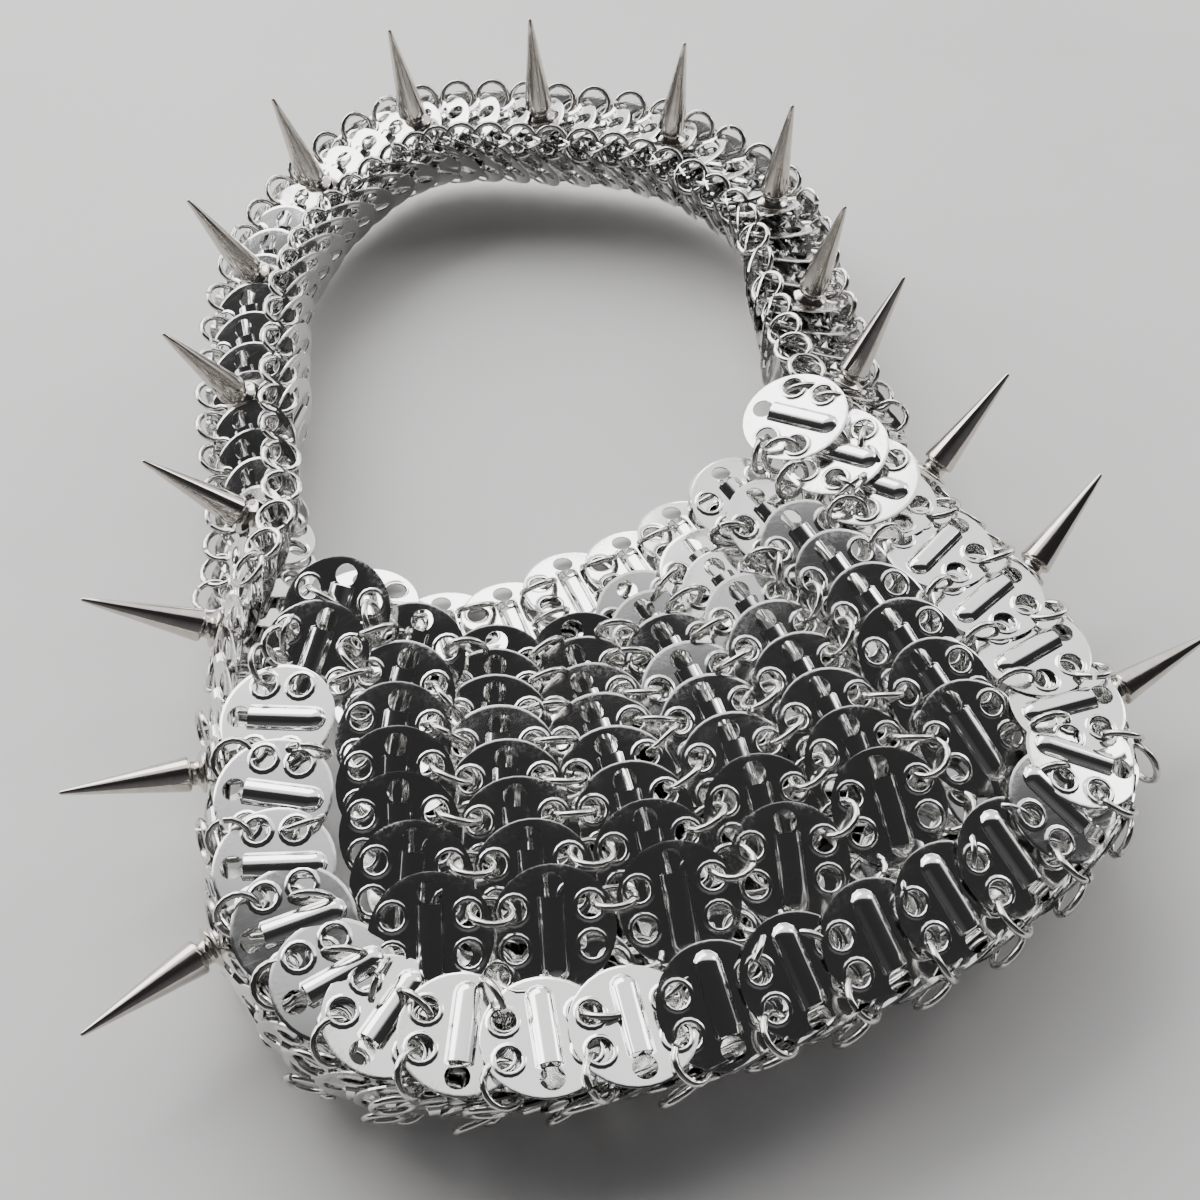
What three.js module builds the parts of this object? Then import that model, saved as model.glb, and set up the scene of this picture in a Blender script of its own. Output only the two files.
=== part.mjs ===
// A shoulder purse made of round pressed metal discs linked with jump rings, with cone spikes round its
// gusset and handle. It lies on its back: the front panel faces up, the handle lies flat beyond the mouth.
// Millimetres, +Z up, X across the purse, Y from the bottom of the bag towards the handle.
// Each run of linked discs is one thin closed wall here, a disc wide.

import * as THREE from "three";

// Driving sizes
const BODY_WIDTH = 226;
const LOOP_REACH = 330;
const DISC_DIAMETER = 30;
const MESH_WALL = 2.6;
const PIECE_GAP = 0.5;
const PANEL_GAP = 1.2;
const MOUTH_END_INSET = 9;
const SPIKE_CONE_LENGTH = 32.5;
const SPIKE_CONE_DIAMETER = 9.2;
const SPIKE_NECK_DIAMETER = 6.4;
const SPIKE_NECK_LENGTH = 2.2;
const SPIKE_COLLAR_DIAMETER = 11;
const SPIKE_COLLAR_LENGTH = 1.4;
const SPIKE_TIP_DIAMETER = 0.9;
const SPIKE_SIDES = 12;

// Worked out from the driving sizes
const HALF_BODY = BODY_WIDTH / 2;
const HALF_BAND = DISC_DIAMETER * 0.467;
const SIDE_BAND = DISC_DIAMETER * 0.9;
const HALF_WALL = MESH_WALL / 2;

// The middle band of discs runs once round the purse: it is the gusset along the body and the top of the
// handle beyond it. One row for each fourth disc, clockwise from the lower left as seen from above. The
// first sixteen rows carry a spike. x is a share of half the body width, y of the loop's reach and z of
// the disc diameter. lift is how far the band's outer face turns up, front and back how far the
// neighbouring side bands slope, measured up from the inward level, lean how far the spike leans along the
// band, all in degrees.
const BAND = [
  { x: -1.07, y: 0.215, z: 0.77, lift: 7, front: 5, back: -14, lean: -17 },
  { x: -0.99, y: 0.358, z: 0.77, lift: 15, front: 6, back: -14, lean: -11 },
  { x: -0.876, y: 0.485, z: 0.77, lift: 27, front: 8, back: -14, lean: -3 },
  { x: -0.726, y: 0.585, z: 0.8, lift: 50, front: -48, back: -24, lean: -1 },
  { x: -0.646, y: 0.718, z: 0.8, lift: 63, front: -84, back: -36, lean: -4 },
  { x: -0.504, y: 0.861, z: 0.8, lift: 67, front: -90, back: -40, lean: -4 },
  { x: -0.256, y: 0.954, z: 0.87, lift: 78, front: -102, back: -52, lean: -4 },
  { x: 0.088, y: 1.003, z: 0.93, lift: 84, front: -108, back: -60, lean: -5 },
  { x: 0.442, y: 0.967, z: 0.93, lift: 84, front: -110, back: -60, lean: -4 },
  { x: 0.77, y: 0.891, z: 0.93, lift: 84, front: -110, back: -60, lean: 2 },
  { x: 0.947, y: 0.776, z: 0.87, lift: 82, front: -104, back: -54, lean: -4 },
  { x: 0.894, y: 0.648, z: 0.83, lift: 78, front: -96, back: -48, lean: -2 },
  { x: 0.85, y: 0.539, z: 0.83, lift: 58, front: 0, back: -28, lean: -13 },
  { x: 0.92, y: 0.421, z: 0.77, lift: 38, front: 8, back: -14, lean: -8 },
  { x: 1.0, y: 0.297, z: 0.77, lift: 22, front: 6, back: -14, lean: -20 },
  { x: 1.009, y: 0.17, z: 0.77, lift: 6, front: 5, back: -14, lean: -20 },
  { x: 0.878, y: 0.074, z: 0.77, lift: -15, front: 5, back: -14, lean: 0 },
  { x: 0.531, y: 0.023, z: 0.77, lift: -30, front: 6, back: -16, lean: 0 },
  { x: 0.128, y: 0.004, z: 0.77, lift: -32, front: 6, back: -16, lean: 0 },
  { x: -0.27, y: 0.003, z: 0.77, lift: -26, front: 6, back: -16, lean: 0 },
  { x: -0.664, y: 0.029, z: 0.77, lift: -12, front: 5, back: -14, lean: 0 },
  { x: -0.947, y: 0.094, z: 0.77, lift: 0, front: 5, back: -14, lean: 0 },
];
const DISCS_PER_ROW = 4;
const SPIKED_ROWS = 16;

// Where the body ends and the handle begins on each side, counted in rows of the band
const LEFT_SHOULDER = 2.25;
const RIGHT_SHOULDER = 12.5;
const PANEL_SHORT_OF_SHOULDER = 0.12;

// The free edge of the front panel from the left shoulder to the right, low in the middle of the mouth.
// x is a share of half the body width, y of the loop's reach and z of the disc diameter.
const FRONT_MOUTH = [
  { x: -0.407, y: 0.421, z: 1.03 },
  { x: -0.265, y: 0.394, z: 0.83 },
  { x: -0.08, y: 0.394, z: 0.67 },
  { x: 0.106, y: 0.418, z: 0.67 },
  { x: 0.265, y: 0.424, z: 0.87 },
  { x: 0.425, y: 0.445, z: 1.1 },
];

// The free edge of the back panel, which lies on the surface
const BACK_MOUTH = [
  { x: -0.45, y: 0.54 },
  { x: -0.336, y: 0.503 },
  { x: -0.177, y: 0.494 },
  { x: 0, y: 0.506 },
  { x: 0.168, y: 0.509 },
  { x: 0.327, y: 0.524 },
  { x: 0.5, y: 0.552 },
];

// How far the front panel rises between its rim and its mouth
const FRONT_CROWN = DISC_DIAMETER * 0.09;

const UP = new THREE.Vector3(0, 0, 1);

const discMetal = () =>
  new THREE.MeshStandardMaterial({ color: 0xc9cacb, roughness: 0.16, metalness: 1 });
const spikeMetal = () =>
  new THREE.MeshStandardMaterial({ color: 0xb9b1a6, roughness: 0.2, metalness: 1 });

function piece(name, geometry, material) {
  const mesh = new THREE.Mesh(geometry, material);
  mesh.name = name;
  return mesh;
}

// A closed curve through one value of three of each band row
function bandCurve(read) {
  return new THREE.CatmullRomCurve3(BAND.map(read), true, "catmullrom", 0.5);
}

const centreLine = bandCurve(
  (row) => new THREE.Vector3(row.x * HALF_BODY, row.y * LOOP_REACH, row.z * DISC_DIAMETER),
);
const slopeLine = bandCurve((row) => new THREE.Vector3(row.lift, row.front, row.back));

// The band's section at a place counted in rows: the middle band's centre, its directions, the corners
// where it meets the side bands and the slopes of those
function section(row) {
  const at = (((row / BAND.length) % 1) + 1) % 1;
  const step = 0.001;
  const centre = centreLine.getPoint(at);
  const along = centreLine
    .getPoint((at + step) % 1)
    .sub(centreLine.getPoint((at - step + 1) % 1))
    .normalize();
  const inward = new THREE.Vector3().crossVectors(along, UP).normalize();
  const upward = new THREE.Vector3().crossVectors(inward, along);
  const slopes = slopeLine.getPoint(at);
  const turned = (degrees) => {
    const angle = THREE.MathUtils.degToRad(degrees);
    return inward
      .clone()
      .multiplyScalar(Math.cos(angle))
      .addScaledVector(upward, Math.sin(angle));
  };
  const across = turned(90 - slopes.x);
  return {
    centre,
    along,
    outward: turned(180 - slopes.x),
    across,
    frontCorner: centre.clone().addScaledVector(across, HALF_BAND),
    backCorner: centre.clone().addScaledVector(across, -HALF_BAND),
    frontSlope: turned(slopes.y),
    backSlope: turned(slopes.z),
  };
}

// The wall from start to end in a section, as a ring of points: one face, then the other face back
function stripCorners(start, end, along) {
  const run = end.clone().sub(start).normalize();
  const normal = new THREE.Vector3().crossVectors(along, run).normalize();
  const middle = start.clone().lerp(end, 0.5);
  const face = (points, side) => points.map((p) => p.clone().addScaledVector(normal, side * HALF_WALL));
  return [...face([start, middle, end], 1), ...face([end, middle, start], -1)];
}

// How far a wall stops short of a corner so that it clears the wall that passes over the corner
function cornerInset(run, other) {
  const cosine = Math.abs(run.dot(other));
  const sine = Math.sqrt(Math.max(1 - cosine * cosine, 0.2));
  return (HALF_WALL * (1 + cosine) + PIECE_GAP) / sine;
}

function middleStrip(s) {
  const down = s.across.clone().negate();
  const front = cornerInset(down, s.frontSlope);
  const back = cornerInset(s.across, s.backSlope);
  return stripCorners(
    s.frontCorner.clone().addScaledVector(down, front),
    s.backCorner.clone().addScaledVector(s.across, back),
    s.along,
  );
}

function frontStrip(s) {
  const end = s.frontCorner.clone().addScaledVector(s.frontSlope, SIDE_BAND);
  return stripCorners(s.frontCorner, end, s.along);
}

function backStrip(s) {
  const end = s.backCorner.clone().addScaledVector(s.backSlope, SIDE_BAND);
  return stripCorners(s.backCorner, end, s.along);
}

// A closed body through rings of points, each ring a section of the wall, with both ends capped
function bodyThroughRings(rings) {
  const sides = rings[0].length;
  const positions = rings.flat().flatMap((p) => [p.x, p.y, p.z]);
  const faces = [];
  for (let i = 0; i < rings.length - 1; i += 1) {
    const a = i * sides;
    const b = a + sides;
    for (let j = 0; j < sides; j += 1) {
      const k = (j + 1) % sides;
      faces.push(a + j, b + j, b + k, a + j, b + k, a + k);
    }
  }
  const last = (rings.length - 1) * sides;
  for (let j = 0; j < sides / 2 - 1; j += 1) {
    const [a, b, c, d] = [j, j + 1, sides - 2 - j, sides - 1 - j];
    faces.push(a, b, c, a, c, d);
    faces.push(last + a, last + c, last + b, last + a, last + d, last + c);
  }
  return outwardGeometry(positions, faces);
}

// Turns the faces round where the body would be inside out
function outwardGeometry(positions, faces) {
  let volume = 0;
  const corner = (n) => new THREE.Vector3(positions[3 * n], positions[3 * n + 1], positions[3 * n + 2]);
  for (let i = 0; i < faces.length; i += 3) {
    const [a, b, c] = [corner(faces[i]), corner(faces[i + 1]), corner(faces[i + 2])];
    volume += a.dot(b.cross(c));
  }
  if (volume < 0) {
    for (let i = 0; i < faces.length; i += 3) {
      [faces[i + 1], faces[i + 2]] = [faces[i + 2], faces[i + 1]];
    }
  }
  const geometry = new THREE.BufferGeometry();
  geometry.setAttribute("position", new THREE.Float32BufferAttribute(positions, 3));
  geometry.setIndex(faces);
  geometry.computeVertexNormals();
  return geometry;
}

// One run of a band from one place to another, both counted in rows; a gap is left at each end
function bandRun(name, strip, from, to) {
  const length = to - from;
  const clear = PIECE_GAP / (DISC_DIAMETER * 1.45);
  const steps = Math.round(length * DISCS_PER_ROW);
  const rings = [];
  for (let i = 0; i <= steps; i += 1) {
    rings.push(strip(section(from + clear + ((length - 2 * clear) * i) / steps)));
  }
  return piece(name, bodyThroughRings(rings), discMetal());
}

// A panel wall between the inner edge of a rim and a mouth. edge and mouth give a point for a share of the
// way from left to right, height gives the middle of the wall for that share and a share of the way to the mouth
function panel(name, edge, mouth, height, across, down) {
  const middle = [];
  for (let i = 0; i <= across; i += 1) {
    const line = [];
    for (let j = 0; j <= down; j += 1) {
      const share = j / down;
      const point = edge(i / across).lerp(mouth(i / across), share);
      point.z = height(i / across, share);
      line.push(point);
    }
    middle.push(line);
  }
  const positions = [];
  const lower = (across + 1) * (down + 1);
  const index = (i, j) => i * (down + 1) + j;
  for (const side of [HALF_WALL, -HALF_WALL]) {
    for (let i = 0; i <= across; i += 1) {
      for (let j = 0; j <= down; j += 1) {
        const before = middle[Math.max(i - 1, 0)][j];
        const after = middle[Math.min(i + 1, across)][j];
        const under = middle[i][Math.max(j - 1, 0)];
        const over = middle[i][Math.min(j + 1, down)];
        const normal = new THREE.Vector3()
          .crossVectors(after.clone().sub(before), over.clone().sub(under))
          .normalize();
        const p = middle[i][j].clone().addScaledVector(normal, side * Math.sign(normal.z));
        positions.push(p.x, p.y, p.z);
      }
    }
  }
  const faces = [];
  const quad = (a, b, c, d) => faces.push(a, b, c, a, c, d);
  for (let i = 0; i < across; i += 1) {
    for (let j = 0; j < down; j += 1) {
      const [a, b, c, d] = [index(i, j), index(i + 1, j), index(i + 1, j + 1), index(i, j + 1)];
      quad(a, b, c, d);
      quad(lower + a, lower + d, lower + c, lower + b);
    }
  }
  for (let i = 0; i < across; i += 1) {
    quad(index(i + 1, 0), index(i, 0), lower + index(i, 0), lower + index(i + 1, 0));
    quad(index(i, down), index(i + 1, down), lower + index(i + 1, down), lower + index(i, down));
  }
  for (let j = 0; j < down; j += 1) {
    quad(index(0, j), index(0, j + 1), lower + index(0, j + 1), lower + index(0, j));
    quad(index(across, j + 1), index(across, j), lower + index(across, j), lower + index(across, j + 1));
  }
  return piece(name, outwardGeometry(positions, faces), discMetal());
}

// The body's share of the band in steps of a disc, so that a panel's edge bends where its rim does
const RIM_STEPS = Math.round((BAND.length + LEFT_SHOULDER - RIGHT_SHOULDER) * DISCS_PER_ROW);

// The inner edge of a side band on the body, from the left shoulder round the bottom to the right one
function innerEdge(cornerName, slopeName, beyond) {
  const [first, last] = [LEFT_SHOULDER + BAND.length, RIGHT_SHOULDER];
  return (share) => {
    const row = THREE.MathUtils.clamp(
      THREE.MathUtils.lerp(first, last, share),
      last + PANEL_SHORT_OF_SHOULDER,
      first - PANEL_SHORT_OF_SHOULDER,
    );
    const s = section(row);
    return s[cornerName].clone().addScaledVector(s[slopeName], SIDE_BAND + beyond);
  };
}

// A mouth line through its table, with both ends held just inside the rim's inner edge
function mouthLine(table, edge) {
  const points = table.map(
    (row) => new THREE.Vector3(row.x * HALF_BODY, row.y * LOOP_REACH, (row.z ?? 0) * DISC_DIAMETER),
  );
  const middle = points[Math.floor(points.length / 2)];
  const ends = [edge(0), edge(1)].map((end) => {
    const inset = Math.sign(middle.x - end.x) * MOUTH_END_INSET;
    return end.add(new THREE.Vector3(inset, 0, 0));
  });
  const curve = new THREE.CatmullRomCurve3([ends[0], ...points, ends[1]], false, "catmullrom", 0.5);
  return (share) => curve.getPoint(share);
}

function frontPanel() {
  const edge = innerEdge("frontCorner", "frontSlope", PANEL_GAP);
  const mouth = mouthLine(FRONT_MOUTH, edge);
  const height = (share, toMouth) => {
    const low = mouth(share).z;
    const rim = edge(share).z;
    const crown = FRONT_CROWN * Math.sin(Math.PI * Math.min(toMouth * 1.3, 1));
    return rim + crown - (rim - low) * toMouth ** 2.6;
  };
  return panel("front_panel", edge, mouth, height, RIM_STEPS, 9);
}

function backPanel() {
  const edge = innerEdge("backCorner", "backSlope", PANEL_GAP);
  const mouth = mouthLine(BACK_MOUTH, edge);
  const height = (share, toMouth) => {
    const rim = edge(share).z;
    return rim + (HALF_WALL - rim) * Math.min(toMouth * 4, 1);
  };
  return panel("back_panel", edge, mouth, height, RIM_STEPS, 8);
}

// How far out along an axis the band's outer face reaches under a spike's collar
function seatUnder(row, axis) {
  const centre = section(row).centre;
  const radius = SPIKE_COLLAR_DIAMETER / 2 + PIECE_GAP;
  let seat = 0;
  for (let i = -6; i <= 6; i += 1) {
    const s = section(row + (i / 6) * 0.2);
    for (let j = -4; j <= 4; j += 1) {
      const point = s.centre
        .clone()
        .addScaledVector(s.across, (j / 4) * radius)
        .addScaledVector(s.outward, HALF_WALL)
        .sub(centre);
      const out = point.dot(axis);
      const aside = point.addScaledVector(axis, -out).length();
      if (aside <= radius) {
        seat = Math.max(seat, out);
      }
    }
  }
  return seat;
}

// A spike turned in one piece: collar, neck, stepped base and a blunt-tipped cone
function spike(number, row) {
  const collar = SPIKE_COLLAR_LENGTH;
  const neck = collar + SPIKE_NECK_LENGTH;
  const tip = neck + SPIKE_CONE_LENGTH;
  const profile = [
    [0, 0],
    [SPIKE_COLLAR_DIAMETER / 2, 0],
    [SPIKE_NECK_DIAMETER / 2, collar],
    [SPIKE_NECK_DIAMETER / 2, neck],
    [SPIKE_CONE_DIAMETER / 2, neck],
    [SPIKE_TIP_DIAMETER / 2, tip],
    [0, tip],
  ].map(([radius, height]) => new THREE.Vector2(radius, height));
  const name = `spike_${String(number).padStart(2, "0")}`;
  const mesh = piece(name, new THREE.LatheGeometry(profile, SPIKE_SIDES), spikeMetal());
  const s = section(row);
  const lean = THREE.MathUtils.degToRad(BAND[row].lean);
  const axis = s.outward
    .clone()
    .multiplyScalar(Math.cos(lean))
    .addScaledVector(s.along, Math.sin(lean));
  mesh.position.copy(s.centre).addScaledVector(axis, seatUnder(row, axis) + PIECE_GAP);
  mesh.quaternion.setFromUnitVectors(new THREE.Vector3(0, 1, 0), axis);
  return mesh;
}

const purse = new THREE.Group();
const around = LEFT_SHOULDER + BAND.length;
purse.add(
  bandRun("gusset_band", middleStrip, RIGHT_SHOULDER, around),
  bandRun("front_rim", frontStrip, RIGHT_SHOULDER, around),
  bandRun("back_rim", backStrip, RIGHT_SHOULDER, around),
  bandRun("handle_band", middleStrip, LEFT_SHOULDER, RIGHT_SHOULDER),
  bandRun("handle_inner_side", frontStrip, LEFT_SHOULDER, RIGHT_SHOULDER),
  bandRun("handle_outer_side", backStrip, LEFT_SHOULDER, RIGHT_SHOULDER),
  frontPanel(),
  backPanel(),
);
for (let row = 0; row < SPIKED_ROWS; row += 1) {
  purse.add(spike(row + 1, row));
}

// The origin is under the middle of the whole purse, on the surface that it lies on
const model = new THREE.Group();
model.add(purse);
model.updateMatrixWorld(true);
const extent = new THREE.Box3().setFromObject(model, true);
const middle = extent.getCenter(new THREE.Vector3());
purse.position.set(-middle.x, -middle.y, -extent.min.z);

export default model;
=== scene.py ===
from types import SimpleNamespace

import bpy
import numpy as np
from mathutils import Matrix, Vector
from mathutils.bvhtree import BVHTree
from mathutils.geometry import delaunay_2d_cdt


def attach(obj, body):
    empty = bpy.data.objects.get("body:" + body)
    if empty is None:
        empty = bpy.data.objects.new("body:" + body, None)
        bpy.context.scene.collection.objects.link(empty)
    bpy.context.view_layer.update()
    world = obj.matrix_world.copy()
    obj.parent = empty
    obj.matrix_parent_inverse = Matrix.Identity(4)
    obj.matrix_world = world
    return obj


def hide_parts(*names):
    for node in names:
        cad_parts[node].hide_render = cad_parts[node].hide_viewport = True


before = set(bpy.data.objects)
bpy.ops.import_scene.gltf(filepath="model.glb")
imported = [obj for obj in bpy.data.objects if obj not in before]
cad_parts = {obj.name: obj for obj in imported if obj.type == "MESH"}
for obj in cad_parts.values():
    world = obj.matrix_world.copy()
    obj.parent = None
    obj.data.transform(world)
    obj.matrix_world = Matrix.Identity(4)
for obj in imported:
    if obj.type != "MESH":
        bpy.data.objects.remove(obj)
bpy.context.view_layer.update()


# The photograph's view: a normal lens held over the bottom left of the purse, looking down across the
# body towards the handle. PURSE_START is where the middle of the bottom rim lies in the frame.
PURSE_START = np.array([0.00233, -0.16956, 0.0])
EYE = PURSE_START + (-0.09241, -0.11329, 0.41263)
VIEW_AZIMUTH = np.radians(-20.78)
VIEW_ELEVATION = np.radians(55.95)
LENS_MM = 51.0
SENSOR_MM = 36.0

back = np.array([np.sin(VIEW_AZIMUTH) * np.cos(VIEW_ELEVATION),
                 -np.cos(VIEW_AZIMUTH) * np.cos(VIEW_ELEVATION),
                 np.sin(VIEW_ELEVATION)])
right = np.array([np.cos(VIEW_AZIMUTH), np.sin(VIEW_AZIMUTH), 0.0])
over = np.cross(back, right)
camera = bpy.data.objects.new("camera", bpy.data.cameras.new("camera"))
camera.data.lens = LENS_MM
camera.data.sensor_width = SENSOR_MM
camera.data.sensor_height = SENSOR_MM
camera.data.clip_start = 0.01
camera.data.clip_end = 100
turn = Matrix(np.column_stack([right, over, back]).tolist()).to_4x4()
camera.matrix_world = Matrix.Translation(EYE.tolist()) @ turn
bpy.context.collection.objects.link(camera)
bpy.context.scene.camera = camera


# Shader maths written as expressions. A Sheet wraps one socket: + and * add Math nodes, and every other
# node comes from Finish.node, which takes its type, its settings and its sockets' values or links.
class Sheet:
    def __init__(self, finish, socket):
        self.finish = finish
        self.socket = socket

    def _maths(self, operation, *values):
        return self.finish.node("ShaderNodeMath", {"operation": operation}, dict(enumerate(values)))

    def __add__(self, other):
        return self._maths("ADD", self, other)

    def __mul__(self, other):
        return self._maths("MULTIPLY", self, other)

    __radd__ = __add__

    def clipped(self, low, high):
        """0 below low, 1 above high and straight between them."""
        return self.finish.node("ShaderNodeMapRange", {"clamp": True},
                                {"Value": self, "From Min": low, "From Max": high}, "Result")


class Finish:
    """A material on one Principled shader, whose nodes are added by node()."""

    def __init__(self, name, **constants):
        self.material = bpy.data.materials.new(name)
        self.material.use_nodes = True
        self.tree = self.material.node_tree
        self.shader = self.tree.nodes["Principled BSDF"]
        for socket, value in constants.items():
            self.shader.inputs[socket.replace("_", " ")].default_value = value

    def node(self, kind, settings=None, inputs=None, output=0):
        made = self.tree.nodes.new(kind)
        for name, value in (settings or {}).items():
            setattr(made, name, value)
        for key, value in (inputs or {}).items():
            self.plug(made.inputs[key], value)
        return Sheet(self, made.outputs[output])

    def plug(self, socket, value):
        if isinstance(value, Sheet):
            self.tree.links.new(value.socket, socket)
        else:
            socket.default_value = value

    def drive(self, **sockets):
        for name, value in sockets.items():
            self.plug(self.shader.inputs[name.replace("_", " ")], value)

    def mix(self, share, first, second):
        """The colour between first and second, as far along as share says."""
        made = self.tree.nodes.new("ShaderNodeMix")
        made.data_type = "RGBA"
        for index, value in ((0, share), (6, first), (7, second)):
            self.plug(made.inputs[index], value)
        return Sheet(self, made.outputs[2])

    def noise(self, place, scale, detail=3.0, roughness=0.55):
        return self.node("ShaderNodeTexNoise", None,
                         {"Vector": place, "Scale": scale, "Detail": detail, "Roughness": roughness}, "Fac")

    def place(self):
        return self.node("ShaderNodeTexCoord", None, None, "Object")


# The floor: a plain matt board, pale warm grey with a few faint specks, wide enough to fill every view.
FLOOR_SIZE = 40.0
FLOOR_GREY = (0.80, 0.785, 0.775, 1.0)
FLOOR_SPECK = (0.70, 0.685, 0.675, 1.0)

bpy.ops.mesh.primitive_plane_add(size=FLOOR_SIZE, location=(0, 0, 0))
floor = bpy.context.object
floor.name = "floor"
board = Finish("floor_board", Roughness=0.62)
clouding = board.noise(board.place(), 9.0, 2.0).clipped(0.40, 0.75)
board.drive(Base_Color=board.mix(clouding * 0.35, FLOOR_GREY, FLOOR_SPECK))
floor.data.materials.append(board.material)


# The light: one wide window-like softbox beyond the handle, a lower one at each side, and a surround that
# is bright on the far side and dark from the zenith to the near side, where the photographer stands. The
# level discs of the front panel mirror its dark half and the tilted ones of the rims its bright half.
def softbox(name, place, target, size, watts):
    """A rectangular area light of that (width, height), turned so that it faces the target."""
    light = bpy.data.objects.new(name, bpy.data.lights.new(name, "AREA"))
    light.data.shape = "RECTANGLE"
    light.data.size, light.data.size_y = size
    light.data.energy = watts
    light.location = place
    light.rotation_euler = (Vector(target) - Vector(place)).to_track_quat("-Z", "Y").to_euler()
    bpy.context.collection.objects.link(light)


softbox("window", (-0.35, 1.75, 1.35), (0, 0.05, 0), (2.6, 1.5), 62)
softbox("left_box", (-1.6, 1.0, 0.6), (0, 0, 0), (0.5, 0.9), 7)
softbox("right_box", (1.7, 0.3, 0.8), (0, 0, 0), (0.5, 0.9), 7)

# The way to the far side, about half as long as a direction, so that with the middle's share added to the
# dot product the share of the way runs from 0 on the near side to 1. Then that share and the colour there
FAR_SIDE = (0.14, 0.5, 0.0)
MIDDLE_SHARE = 0.5
SURROUND = [
    (0.0, (0.10, 0.10, 0.105, 1)), (0.30, (0.018, 0.018, 0.01854, 1)), (0.605, (0.02, 0.02, 0.0206, 1)),
    (0.645, (0.60, 0.60, 0.618, 1)), (0.68, (1.0, 1.0, 1.0, 1)),
]
SURROUND_STRENGTH = 1.7

world = bpy.data.worlds.new("surround")
world.use_nodes = True
bpy.context.scene.world = world
sky = world.node_tree
direction = sky.nodes.new("ShaderNodeTexCoord")
far_side = sky.nodes.new("ShaderNodeVectorMath")
far_side.operation = "DOT_PRODUCT"
far_side.inputs[1].default_value = FAR_SIDE
shift = sky.nodes.new("ShaderNodeMath")
shift.operation = "ADD"
shift.inputs[1].default_value = MIDDLE_SHARE
fade = sky.nodes.new("ShaderNodeValToRGB")
first, last = fade.color_ramp.elements
first.position, first.color = SURROUND[0]
last.position, last.color = SURROUND[-1]
for position, colour in SURROUND[1:-1]:
    fade.color_ramp.elements.new(position).color = colour
sky.links.new(direction.outputs["Generated"], far_side.inputs[0])
sky.links.new(far_side.outputs["Value"], shift.inputs[0])
sky.links.new(shift.outputs[0], fade.inputs[0])
sky.links.new(fade.outputs[0], sky.nodes["Background"].inputs["Color"])
sky.nodes["Background"].inputs["Strength"].default_value = SURROUND_STRENGTH


# The gusset: the middle band of discs, which makes the thickness of the bag. The discs overlap like
# scales at a close pitch, ridges along the band, each resting on the next one clockwise. The same band
# goes on as the top of the handle, so its closed line and its disc are worked out here for all the rest.
DISC = 0.030
SHEET = 0.00045
HALF_BODY = 0.113
REACH = 0.330
HALF_BAND = DISC * 0.467
SIDE_BAND = DISC * 0.9
UP = np.array([0.0, 0.0, 1.0])

# One row for each fourth disc, clockwise from the lower left: x as a share of the half width, y of the
# reach and z of the disc, then in degrees how far the band faces up and how the front and the back
# neighbour slope from the inward level.
BAND = np.array([
    (-1.07, 0.215, 0.77, 7, 5, -14), (-0.99, 0.358, 0.77, 15, 6, -14),
    (-0.876, 0.485, 0.77, 27, 8, -14), (-0.726, 0.585, 0.8, 50, -48, -24),
    (-0.646, 0.718, 0.8, 63, -84, -36), (-0.504, 0.861, 0.8, 67, -90, -40),
    (-0.256, 0.954, 0.87, 78, -102, -52), (0.088, 1.003, 0.93, 84, -108, -60),
    (0.442, 0.967, 0.93, 84, -110, -60), (0.77, 0.891, 0.93, 84, -110, -60),
    (0.947, 0.776, 0.87, 82, -104, -54), (0.894, 0.648, 0.83, 78, -96, -48),
    (0.85, 0.539, 0.83, 58, 0, -28), (0.92, 0.421, 0.77, 38, 8, -14),
    (1.0, 0.297, 0.77, 22, 6, -14), (1.009, 0.17, 0.77, 6, 5, -14),
    (0.878, 0.074, 0.77, -15, 5, -14), (0.531, 0.023, 0.77, -30, 6, -16),
    (0.128, 0.004, 0.77, -32, 6, -16), (-0.27, 0.003, 0.77, -26, 6, -16),
    (-0.664, 0.029, 0.77, -12, 5, -14), (-0.947, 0.094, 0.77, 0, 5, -14),
])
ROWS = len(BAND)
DISCS_PER_ROW = 4
LEFT_SHOULDER = 2.25
RIGHT_SHOULDER = 12.5
TANGENT_STEP = 0.02
BAND_PLACES = BAND[:, :3] * (HALF_BODY, REACH, DISC) + PURSE_START
BAND_ANGLES = np.radians(BAND[:, 3:])


def unit(vectors):
    return vectors / np.linalg.norm(vectors, axis=-1, keepdims=True)


def through(points, rows):
    """A closed smooth line through the points: between two of them a cubic, whose slope at each point is
    half the step from the point before to the point after."""
    whole = np.floor(rows).astype(int)
    w = (rows - whole)[:, None]
    a, b, c, d = (points[(whole + k) % len(points)] for k in (-1, 0, 1, 2))
    return b + 0.5 * w * (c - a + w * (2 * a - 5 * b + 4 * c - d + w * (3 * (b - c) + d - a)))


def section(rows):
    """The band at places counted in rows: its middle, its directions and the corners and slopes of its two
    neighbours. A slope is the inward direction turned up by its angle."""
    rows = np.atleast_1d(np.asarray(rows, float))
    middle = through(BAND_PLACES, rows)
    along = unit(through(BAND_PLACES, rows + TANGENT_STEP) - through(BAND_PLACES, rows - TANGENT_STEP))
    inward = unit(np.cross(along, UP))
    upward = np.cross(inward, along)
    lift, front, rear = (angle[:, None] for angle in through(BAND_ANGLES, rows).T)

    def turned(angle):
        return np.cos(angle) * inward + np.sin(angle) * upward

    across = turned(np.pi / 2 - lift)
    return SimpleNamespace(
        middle=middle, along=along, outward=turned(np.pi - lift), across=across,
        front_corner=middle + HALF_BAND * across, back_corner=middle - HALF_BAND * across,
        front_slope=turned(front), front_face=turned(front + np.pi / 2),
        back_slope=turned(rear), back_face=turned(rear - np.pi / 2),
    )


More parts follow.
